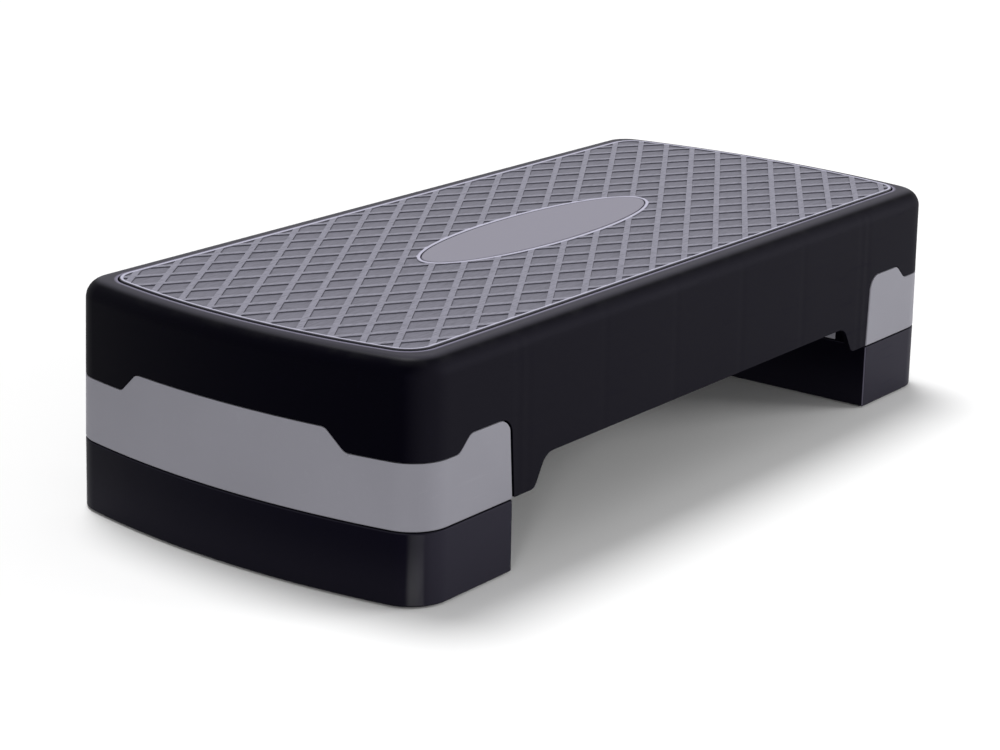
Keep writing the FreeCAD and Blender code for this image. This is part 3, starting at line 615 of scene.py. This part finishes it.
def end_growth(tree, geometry, given):
    """Realized, smooth where edges are blunt, and with its finish."""
    solid = tree.add("GeometryNodeRealizeInstances", None, {"Geometry": geometry})["Geometry"]
    angle = tree.add("GeometryNodeInputMeshEdgeAngle")["Unsigned Angle"]
    blunt = tree.add("FunctionNodeCompare", {"operation": "LESS_THAN"}, {0: angle, 1: BLUNT})["Result"]
    shading = {"Geometry": solid, "Shade Smooth": blunt}
    smooth = tree.add("GeometryNodeSetShadeSmooth", {"domain": "EDGE"}, shading)["Geometry"]
    dressing = {"Geometry": smooth, "Material": given["Finish"]}
    dressed = tree.add("GeometryNodeSetMaterial", None, dressing)["Geometry"]
    tree.add("NodeGroupOutput", None, {"Geometry": dressed})


def grow(name, mesh, tree, values):
    """Runs a geometry tree on a mesh and returns the result as a plain object."""
    piece = bpy.data.objects.new(name, mesh)
    bpy.context.scene.collection.objects.link(piece)
    modifier = piece.modifiers.new("growth", "NODES")
    modifier.node_group = tree.tree
    for item in tree.tree.interface.items_tree:
        if item.in_out == "INPUT" and item.name in values:
            modifier[item.identifier] = values[item.name]
    graph = bpy.context.evaluated_depsgraph_get()
    grown = bpy.data.meshes.new_from_object(piece.evaluated_get(graph))
    piece.modifiers.clear()
    piece.data = grown
    return piece


def rib_bar(tree, given):
    """One straight rib with a rounded section, at its level."""
    section = {
        "Height": given["Height"],
        "Bottom Width": given["Foot"],
        "Top Width": given["Crown"],
        "Offset": 0.0,
    }
    profile = tree.add("GeometryNodeCurvePrimitiveQuadrilateral", {"mode": "TRAPEZOID"}, section)["Curve"]
    fillet = {"Curve": profile, "Count": RIB_ROUND_STEPS, "Radius": given["Round"]}
    profile = tree.add("GeometryNodeFilletCurve", {"mode": "POLY"}, fillet)["Curve"]
    tip = tree.add("ShaderNodeCombineXYZ", None, {"X": given["Reach"]})["Vector"]
    tail = tree.add("ShaderNodeCombineXYZ", None, {"X": given["Reach"] * -1.0})["Vector"]
    run = tree.add("GeometryNodeCurvePrimitiveLine", None, {"Start": tail, "End": tip})["Curve"]
    sweep = {"Curve": run, "Profile Curve": profile, "Fill Caps": True}
    bar = tree.add("GeometryNodeCurveToMesh", None, sweep)["Mesh"]
    lift = tree.add("ShaderNodeCombineXYZ", None, {"Z": given["Level"]})["Vector"]
    return tree.add("GeometryNodeTransform", None, {"Geometry": bar, "Translation": lift})["Geometry"]


def rib_family(tree, bar, spacing, angle, first, count):
    """Parallel ribs: instances of one bar on a line of points across their run."""
    away = angle.sine() * -1.0
    beside = angle.cosine()
    step = tree.add("ShaderNodeCombineXYZ", None, {"X": away * spacing, "Y": beside * spacing})["Vector"]
    start = tree.add("ShaderNodeVectorMath", {"operation": "SCALE"}, {0: step, "Scale": first})["Vector"]
    line = {"Count": count, "Start Location": start, "Offset": step}
    points = tree.add("GeometryNodeMeshLine", None, line)["Mesh"]
    turn = tree.add("ShaderNodeCombineXYZ", None, {"Z": angle})["Vector"]
    places = {"Points": points, "Instance": bar, "Rotation": turn}
    return tree.add("GeometryNodeInstanceOnPoints", None, places)["Instances"]


def combined(tree, operation, first, second):
    settings = {"operation": operation, "solver": "MANIFOLD"}
    return tree.add("GeometryNodeMeshBoolean", settings, {"Mesh 2": [first, second]})["Mesh"]


def ribbed_tread_tree():
    """Two crossing families of rounded ribs, trimmed to their field and joined to the sheet."""
    sizes = [
        ("Field", "NodeSocketObject"),
        ("Spacing", "NodeSocketFloat"),
        ("Angle", "NodeSocketFloat"),
        ("Crown", "NodeSocketFloat"),
        ("Foot", "NodeSocketFloat"),
        ("Height", "NodeSocketFloat"),
        ("Level", "NodeSocketFloat"),
        ("Round", "NodeSocketFloat"),
        ("Reach", "NodeSocketFloat"),
        ("Finish", "NodeSocketMaterial"),
    ]
    tree, given = new_growth("ribbed_tread", sizes)
    bar = rib_bar(tree, given)
    spacing = given["Spacing"]
    angle = given["Angle"]
    one_way = rib_family(tree, bar, spacing, angle, first=-float(RIB_ROWS), count=2 * RIB_ROWS + 1)
    other_way = rib_family(tree, bar, spacing, angle * -1.0, first=0.5 - RIB_ROWS, count=2 * RIB_ROWS)
    ribs = combined(tree, "UNION", one_way, other_way)
    field = tree.add("GeometryNodeObjectInfo", None, {"Object": given["Field"]})["Geometry"]
    trimmed = combined(tree, "INTERSECT", ribs, field)
    whole = combined(tree, "UNION", trimmed, given["Geometry"])
    end_growth(tree, whole, given)
    return tree


def ribbed_tread(finish):
    field = bpy.data.objects.new("rib_field", rib_field())
    bpy.context.scene.collection.objects.link(field)
    height = mat_high.z - RIB_DROP - MAT_FLOOR + ROOT
    values = {
        "Field": field,
        "Spacing": RIB_SPACING,
        "Angle": RIB_ANGLE,
        "Crown": RIB_CROWN,
        "Foot": RIB_FOOT,
        "Height": height,
        "Level": mat_high.z - RIB_DROP - height / 2,
        "Round": RIB_ROUND,
        "Reach": RIB_REACH,
        "Finish": finish,
    }
    piece = grow("tread_mat", tread_sheet(), ribbed_tread_tree(), values)
    bpy.data.objects.remove(field)
    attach(piece, "deck_unit")
    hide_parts("deck_mat")


# Small parts that are set on points: anti-slip pads and screws

PAD_CORNER = 4.0 * MM
PAD_CORNER_STEPS = 4
PAD_ROUND = 0.7 * MM
PAD_ROUND_STEPS = 3
PAD_GROOVES = (3.0 * MM, 6.2 * MM)
GROOVE_WIDTH = 1.6 * MM
GROOVE_DEPTH = 0.5 * MM
GROOVE_SLOPE = 0.3 * MM


def square_loop(built, half, corner, level):
    """A square with rounded corners."""
    loop = []
    for turn in range(4):
        middle = Matrix.Rotation(math.pi / 2 * turn, 2) @ Vector((half - corner, half - corner))
        for bend in quarter(PAD_CORNER_STEPS):
            angle = math.pi / 2 * turn + bend
            place = middle + corner * Vector((math.cos(angle), math.sin(angle)))
            loop.append(built.verts.new((place.x, place.y, level)))
    return loop


def pad_form(half, thickness):
    """A rubber foot with a rounded lower edge and grooves round its sole."""
    built = bmesh.new()
    profile = [(0.0, thickness)]
    for turn in quarter(PAD_ROUND_STEPS):
        profile.append((PAD_ROUND * (1 - math.cos(turn)), PAD_ROUND * (1 - math.sin(turn))))
    for start in PAD_GROOVES:
        end = start + GROOVE_WIDTH
        profile += [(start, 0.0), (start + GROOVE_SLOPE, GROOVE_DEPTH)]
        profile += [(end - GROOVE_SLOPE, GROOVE_DEPTH), (end, 0.0)]
    loops = []
    for inset, level in profile:
        corner = max(PAD_CORNER - inset, PAD_ROUND)
        loops.append(square_loop(built, half - inset, corner, level))
    for outer, inner in zip(loops, loops[1:]):
        bridge(built, outer, inner)
    built.faces.new(loops[0])
    built.faces.new(loops[-1])
    return finished_mesh(built, "pad_form")


SCREW_SIDES = 20
SCREW_ANGLES = [2 * math.pi * side / SCREW_SIDES for side in range(SCREW_SIDES)]
HEAD_RADIUS = 4.0 * MM
HEAD_FLAT = 2.9 * MM
HEAD_HEIGHT = 3.0 * MM
HEAD_BULGE = 1.5 * MM
HEAD_STEPS = 4
CROSS_REACH = 2.2 * MM
CROSS_HALF = 0.55 * MM
CROSS_DEPTH = 1.6 * MM
CROSS_TAPER = 0.55
SHANK_RADIUS = 2.0 * MM
SHANK_CORE = 1.45 * MM
SHANK_TIP = 4.0 * MM
TIP_SHARE = 0.1
THREAD_PITCH = 1.8 * MM
THREAD_STEPS = 66
THREAD_STEEPNESS = 3.2


def screw_loop(built, radii, level):
    loop = []
    for angle, radius in zip(SCREW_ANGLES, radii):
        loop.append(built.verts.new((radius * math.cos(angle), radius * math.sin(angle), level)))
    return loop


def thread_radius(angle, level):
    """Radius of the shank: a ridge climbs one pitch in each turn."""
    phase = (level / THREAD_PITCH - angle / (2 * math.pi)) % 1.0
    crest = max(0.0, 1.0 - abs(phase - 0.5) * THREAD_STEEPNESS)
    return SHANK_CORE + (SHANK_RADIUS - SHANK_CORE) * crest


def cross_loop(built, size, level):
    loop = []
    for turn in range(4):
        spin = Matrix.Rotation(math.pi / 2 * turn, 2)
        for corner in ((CROSS_REACH, -CROSS_HALF), (CROSS_REACH, CROSS_HALF), (CROSS_HALF, CROSS_HALF)):
            place = spin @ Vector(corner) * size
            loop.append(built.verts.new((place.x, place.y, level)))
    return loop


def ring_edges(built, loop):
    edges = []
    for first, second in zip(loop, loop[1:] + loop[:1]):
        edges.append(built.edges.get((first, second)) or built.edges.new((first, second)))
    return edges


def screw_form(length):
    """A pan-head screw, head down: cross recess, bulged head and a cut thread."""
    built = bmesh.new()
    flare = HEAD_RADIUS - HEAD_FLAT
    head = [(HEAD_FLAT + flare * math.sin(t), HEAD_BULGE * (1 - math.cos(t))) for t in quarter(HEAD_STEPS)]
    head += [(HEAD_RADIUS, HEAD_HEIGHT), (SHANK_CORE, HEAD_HEIGHT)]
    loops = [screw_loop(built, [radius] * SCREW_SIDES, level) for radius, level in head]
    for step in range(1, THREAD_STEPS + 1):
        level = HEAD_HEIGHT + (length - HEAD_HEIGHT) * step / THREAD_STEPS
        taper = min(1.0, TIP_SHARE + (1.0 - TIP_SHARE) * (length - level) / SHANK_TIP)
        radii = [taper * thread_radius(angle, level) for angle in SCREW_ANGLES]
        loops.append(screw_loop(built, radii, level))
    for lower, upper in zip(loops, loops[1:]):
        bridge(built, lower, upper)
    built.faces.new(loops[-1])
    mouth = cross_loop(built, 1.0, 0.0)
    bottom = cross_loop(built, CROSS_TAPER, CROSS_DEPTH)
    bridge(built, mouth, bottom)
    built.faces.new(bottom)
    rims = ring_edges(built, loops[0]) + ring_edges(built, mouth)
    bmesh.ops.triangle_fill(built, edges=rims, use_dissolve=False)
    return finished_mesh(built, "screw_form")


def set_on_points_tree():
    """Copies of one form on the points of a mesh."""
    sizes = [("Form", "NodeSocketObject"), ("Finish", "NodeSocketMaterial")]
    tree, given = new_growth("set_on_points", sizes)
    source = {"Object": given["Form"], "As Instance": True}
    form = tree.add("GeometryNodeObjectInfo", None, source)["Geometry"]
    places = {"Points": given["Geometry"], "Instance": form}
    placed = tree.add("GeometryNodeInstanceOnPoints", None, places)["Instances"]
    end_growth(tree, placed, given)
    return tree


def set_parts(name, form_mesh, points, tree, finish, body, replaced):
    """One mesh of equal small parts that ride on one body."""
    form = bpy.data.objects.new(f"{name}_form", form_mesh)
    bpy.context.scene.collection.objects.link(form)
    mesh = bpy.data.meshes.new(f"{name}_points")
    mesh.from_pydata(points, [], [])
    piece = grow(name, mesh, tree, {"Form": form, "Finish": finish})
    bpy.data.objects.remove(form)
    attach(piece, body)
    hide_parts(*replaced)


def add_pads(tree, finish):
    sets = {
        "leg_pads": ("deck_unit", "leg_pad_"),
        "riser_pads_left": ("left_riser_unit", "riser_pad_left_"),
        "riser_pads_right": ("right_riser_unit", "riser_pad_right_"),
    }
    for name, (body, start) in sets.items():
        replaced = [node for node in nodes if node.startswith(start)]
        boxes = [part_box(node) for node in replaced]
        points = [((low.x + high.x) / 2, (low.y + high.y) / 2, low.z) for low, high in boxes]
        low, high = boxes[0]
        form = pad_form((high.x - low.x) / 2, high.z - low.z)
        set_parts(name, form, points, tree, finish, body, replaced)


def add_screws(tree, finish):
    for side in ("left", "right"):
        node = f"leg_screws_{side}"
        low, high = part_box(node)
        points = [((low.x + high.x) / 2, y, low.z) for y in (low.y + HEAD_RADIUS, high.y - HEAD_RADIUS)]
        form = screw_form(high.z - low.z)
        set_parts(f"cross_screws_{side}", form, points, tree, finish, "deck_unit", [node])


# Mouldings: merged copies of the frame, with the small round that a mould leaves on outer edges

WELD = 0.02 * MM
FLAT = math.radians(0.4)
SHARP = math.radians(32.0)
CLEARANCE = 0.1 * MM
SEAM_ROUND = 0.3 * MM
RISER_ROUND = 0.7 * MM
ROUND_SEGMENTS = 2
LARGE_FACE_WEIGHT = 80


def mark_edges(built):
    """Gives the sharp edges whose two faces look outwards a weight for rounding, and keeps the others sharp.

    The other faces are split at their hollow corners, so that they divide into clean triangles.
    """
    weight = built.edges.layers.float.new("bevel_weight_edge")
    solid = BVHTree.FromBMesh(built)
    looks_out = {}
    for face in built.faces:
        start = face.calc_center_median() + face.normal * CLEARANCE
        looks_out[face] = solid.ray_cast(start, face.normal)[0] is None
    rounded_faces = set()
    for edge in built.edges:
        if edge.calc_face_angle(0.0) < SHARP:
            continue
        if edge.is_convex and all(looks_out[face] for face in edge.link_faces):
            edge[weight] = 1.0
            rounded_faces.update(edge.link_faces)
        else:
            edge.smooth = False
    inner_faces = [face for face in built.faces if face not in rounded_faces]
    bmesh.ops.connect_verts_concave(built, faces=inner_faces)


def soft_edged(name, node, edge_round, body, finish):
    """A moulding with the shape of a node and rounded outer edges."""
    built = bmesh.new()
    built.from_mesh(nodes[node].data)
    bmesh.ops.remove_doubles(built, verts=built.verts, dist=WELD)
    bmesh.ops.dissolve_degenerate(built, edges=built.edges, dist=WELD)
    bmesh.ops.dissolve_limit(built, angle_limit=FLAT, verts=built.verts, edges=built.edges)
    mark_edges(built)
    mesh = bpy.data.meshes.new(name)
    built.to_mesh(mesh)
    built.free()
    mesh.polygons.foreach_set("use_smooth", [True] * len(mesh.polygons))
    piece = bpy.data.objects.new(name, mesh)
    bpy.context.scene.collection.objects.link(piece)
    bevel = piece.modifiers.new("edge_round", "BEVEL")
    bevel.width = edge_round
    bevel.segments = ROUND_SEGMENTS
    bevel.limit_method = "WEIGHT"
    bevel.use_clamp_overlap = False
    bevel.miter_outer = "MITER_ARC"
    shading = piece.modifiers.new("flat_faces", "WEIGHTED_NORMAL")
    shading.keep_sharp = True
    shading.weight = LARGE_FACE_WEIGHT
    graph = bpy.context.evaluated_depsgraph_get()
    rounded = bpy.data.meshes.new_from_object(piece.evaluated_get(graph))
    piece.modifiers.clear()
    piece.data = rounded
    rounded.materials.clear()
    rounded.materials.append(finish)
    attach(piece, body)
    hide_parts(node)


# Dress the frame and add the pieces

deck_black = moulding(
    "deck_black",
    level=0.0008,
    tint=VIOLET_BLACK,
    base_roughness=0.52,
    specular=0.021,
    sheen=VIOLET_SHEEN,
    sinks=deck_sinks,
    painted_light_and_gloss=deck_painted_light_and_gloss,
)
riser_black = moulding(
    "riser_black",
    level=0.0012,
    tint=VIOLET_BLACK,
    base_roughness=0.50,
    specular=0.05,
    sheen=VIOLET_SHEEN,
    painted_light_and_gloss=riser_painted_light_and_gloss,
)
leg_grey = moulding("leg_grey", level=0.30, tint=LEG_TINT, base_roughness=0.52, specular=0.12)
mat_grey = tread_rubber("mat_grey")
oval_grey = oval_plastic("oval_grey")
black_rubber = pad_rubber("pad_rubber")
screw_steel = zinc_steel("screw_steel")

# The first of these that a node's name starts with gives its finish
FINISHES = {
    "deck_shell": deck_black,
    "deck_mat": mat_grey,
    "oval_plate": oval_grey,
    "leg_pad": black_rubber,
    "riser_pad": black_rubber,
    "leg_screws": screw_steel,
    "riser": riser_black,
    "leg": leg_grey,
}
for name, node in nodes.items():
    finish = next(FINISHES[start] for start in FINISHES if name.startswith(start))
    node.data.materials.clear()
    node.data.materials.append(finish)

ribbed_tread(mat_grey)
on_points = set_on_points_tree()
add_pads(on_points, black_rubber)
add_screws(on_points, screw_steel)
soft_edged("deck_moulding", "deck_shell", SEAM_ROUND, "deck_unit", deck_black)
for side in ("left", "right"):
    unit = f"{side}_riser_unit"
    soft_edged(f"leg_moulding_{side}", f"leg_{side}", SEAM_ROUND, "deck_unit", leg_grey)
    soft_edged(f"riser_moulding_{side}", f"riser_{side}", RISER_ROUND, unit, riser_black)


# Camera at the photographed angle

CAMERA_AZIMUTH = math.radians(-53.5)
CAMERA_ELEVATION = math.radians(17.18)
CAMERA_ROLL = math.radians(1.56)
CAMERA_DISTANCE = 1768.14 * MM
CAMERA_ASIDE = 23.83 * MM
CAMERA_ABOVE = 28.22 * MM
AIM = Vector((0.0, 0.0, 75.0 * MM))
LENS_PIXELS = 2575.25
PHOTO_WIDTH = 1000.0
SENSOR = 36.0
NEAREST_SEEN = 0.05
FARTHEST_SEEN = 100.0


def add_camera():
    level = math.cos(CAMERA_ELEVATION)
    back_x = math.sin(CAMERA_AZIMUTH) * level
    back_y = -math.cos(CAMERA_AZIMUTH) * level
    back = Vector((back_x, back_y, math.sin(CAMERA_ELEVATION)))
    right = Vector((math.cos(CAMERA_AZIMUTH), math.sin(CAMERA_AZIMUTH), 0.0))
    up = back.cross(right)
    tilted_right = math.cos(CAMERA_ROLL) * right + math.sin(CAMERA_ROLL) * up
    tilted_up = math.cos(CAMERA_ROLL) * up - math.sin(CAMERA_ROLL) * right
    data = bpy.data.cameras.new("photo_camera")
    data.sensor_fit = "HORIZONTAL"
    data.sensor_width = SENSOR
    data.lens = LENS_PIXELS / PHOTO_WIDTH * SENSOR
    data.clip_start = NEAREST_SEEN
    data.clip_end = FARTHEST_SEEN
    camera = bpy.data.objects.new("photo_camera", data)
    bpy.context.scene.collection.objects.link(camera)
    place = AIM - CAMERA_ASIDE * tilted_right - CAMERA_ABOVE * tilted_up + CAMERA_DISTANCE * back
    turn = Matrix((tilted_right, tilted_up, back)).transposed()
    camera.matrix_world = Matrix.Translation(place) @ turn.to_4x4()
    bpy.context.scene.camera = camera


# Studio

AMBIENT = 0.39
FLOOR_HALF = 12.0
FLOOR_WHITES = (0.96, 0.98)
FLOOR_BOUNCE = 0.36


def seen_directly(tree):
    """1 for rays that show the background itself: from the camera, or by way of gloss or glass."""
    path = tree.add("ShaderNodeLightPath")
    seen = path["Is Camera Ray"] + path["Is Glossy Ray"] + path["Is Transmission Ray"]
    return seen.smaller(1.0)


def add_world():
    """White where it is seen, and a dimmer light on the object."""
    world = bpy.data.worlds.new("studio")
    bpy.context.scene.world = world
    world.use_nodes = True
    world.node_tree.nodes.clear()
    tree = Tree(world.node_tree)
    strength = AMBIENT + seen_directly(tree) * (1.0 - AMBIENT)
    sky = tree.add("ShaderNodeBackground", None, {"Color": grey(1.0), "Strength": strength})["Background"]
    tree.add("ShaderNodeOutputWorld", None, {"Surface": sky})


def add_floor():
    """White paper that throws less light back on the object than it shows."""
    built = bmesh.new()
    corners = [(-1, -1), (1, -1), (1, 1), (-1, 1)]
    built.faces.new([built.verts.new((x * FLOOR_HALF, y * FLOOR_HALF, 0.0)) for x, y in corners])
    floor = bpy.data.objects.new("studio_floor", finished_mesh(built, "studio_floor"))
    bpy.context.scene.collection.objects.link(floor)
    material, tree, place = new_finish("studio_floor")
    white = drifting(tree, noise(tree, place, scale=3.0, detail=2.0), FLOOR_WHITES)
    shown = mixed(tree, seen_directly(tree), grey(FLOOR_BOUNCE), white)
    paper = tree.add("ShaderNodeBsdfDiffuse", None, {"Color": shown})["BSDF"]
    tree.add("ShaderNodeOutputMaterial", None, {"Surface": paper})
    floor.data.materials.append(material)


def add_daylight(name, towards, angle, strength):
    """Even light from one side, which keeps the floor the same white all over."""
    data = bpy.data.lights.new(name, "SUN")
    data.energy = strength
    data.angle = math.radians(angle)
    lamp = bpy.data.objects.new(name, data)
    bpy.context.scene.collection.objects.link(lamp)
    lamp.rotation_euler = (-Vector(towards)).to_track_quat("-Z", "Y").to_euler()


def add_softbox(name, place, width, height, power):
    """A bright rectangle that looks at the middle of the object."""
    data = bpy.data.lights.new(name, "AREA")
    data.shape = "RECTANGLE"
    data.size = width
    data.size_y = height
    data.energy = power
    lamp = bpy.data.objects.new(name, data)
    bpy.context.scene.collection.objects.link(lamp)
    lamp.location = place
    lamp.rotation_euler = (AIM - Vector(place)).to_track_quat("-Z", "Y").to_euler()


add_camera()
add_world()
add_floor()
add_daylight("key_light", towards=(0.15, 0.36, 1.0), angle=26.0, strength=2.10)
add_softbox("front_light", place=(3.0, -3.0, 0.98), width=2.4, height=1.8, power=99.0)
add_softbox("corner_light", place=(-2.1, -1.1, 0.35), width=0.3, height=0.6, power=15.0)

bpy.context.scene.view_settings.view_transform = "Standard"
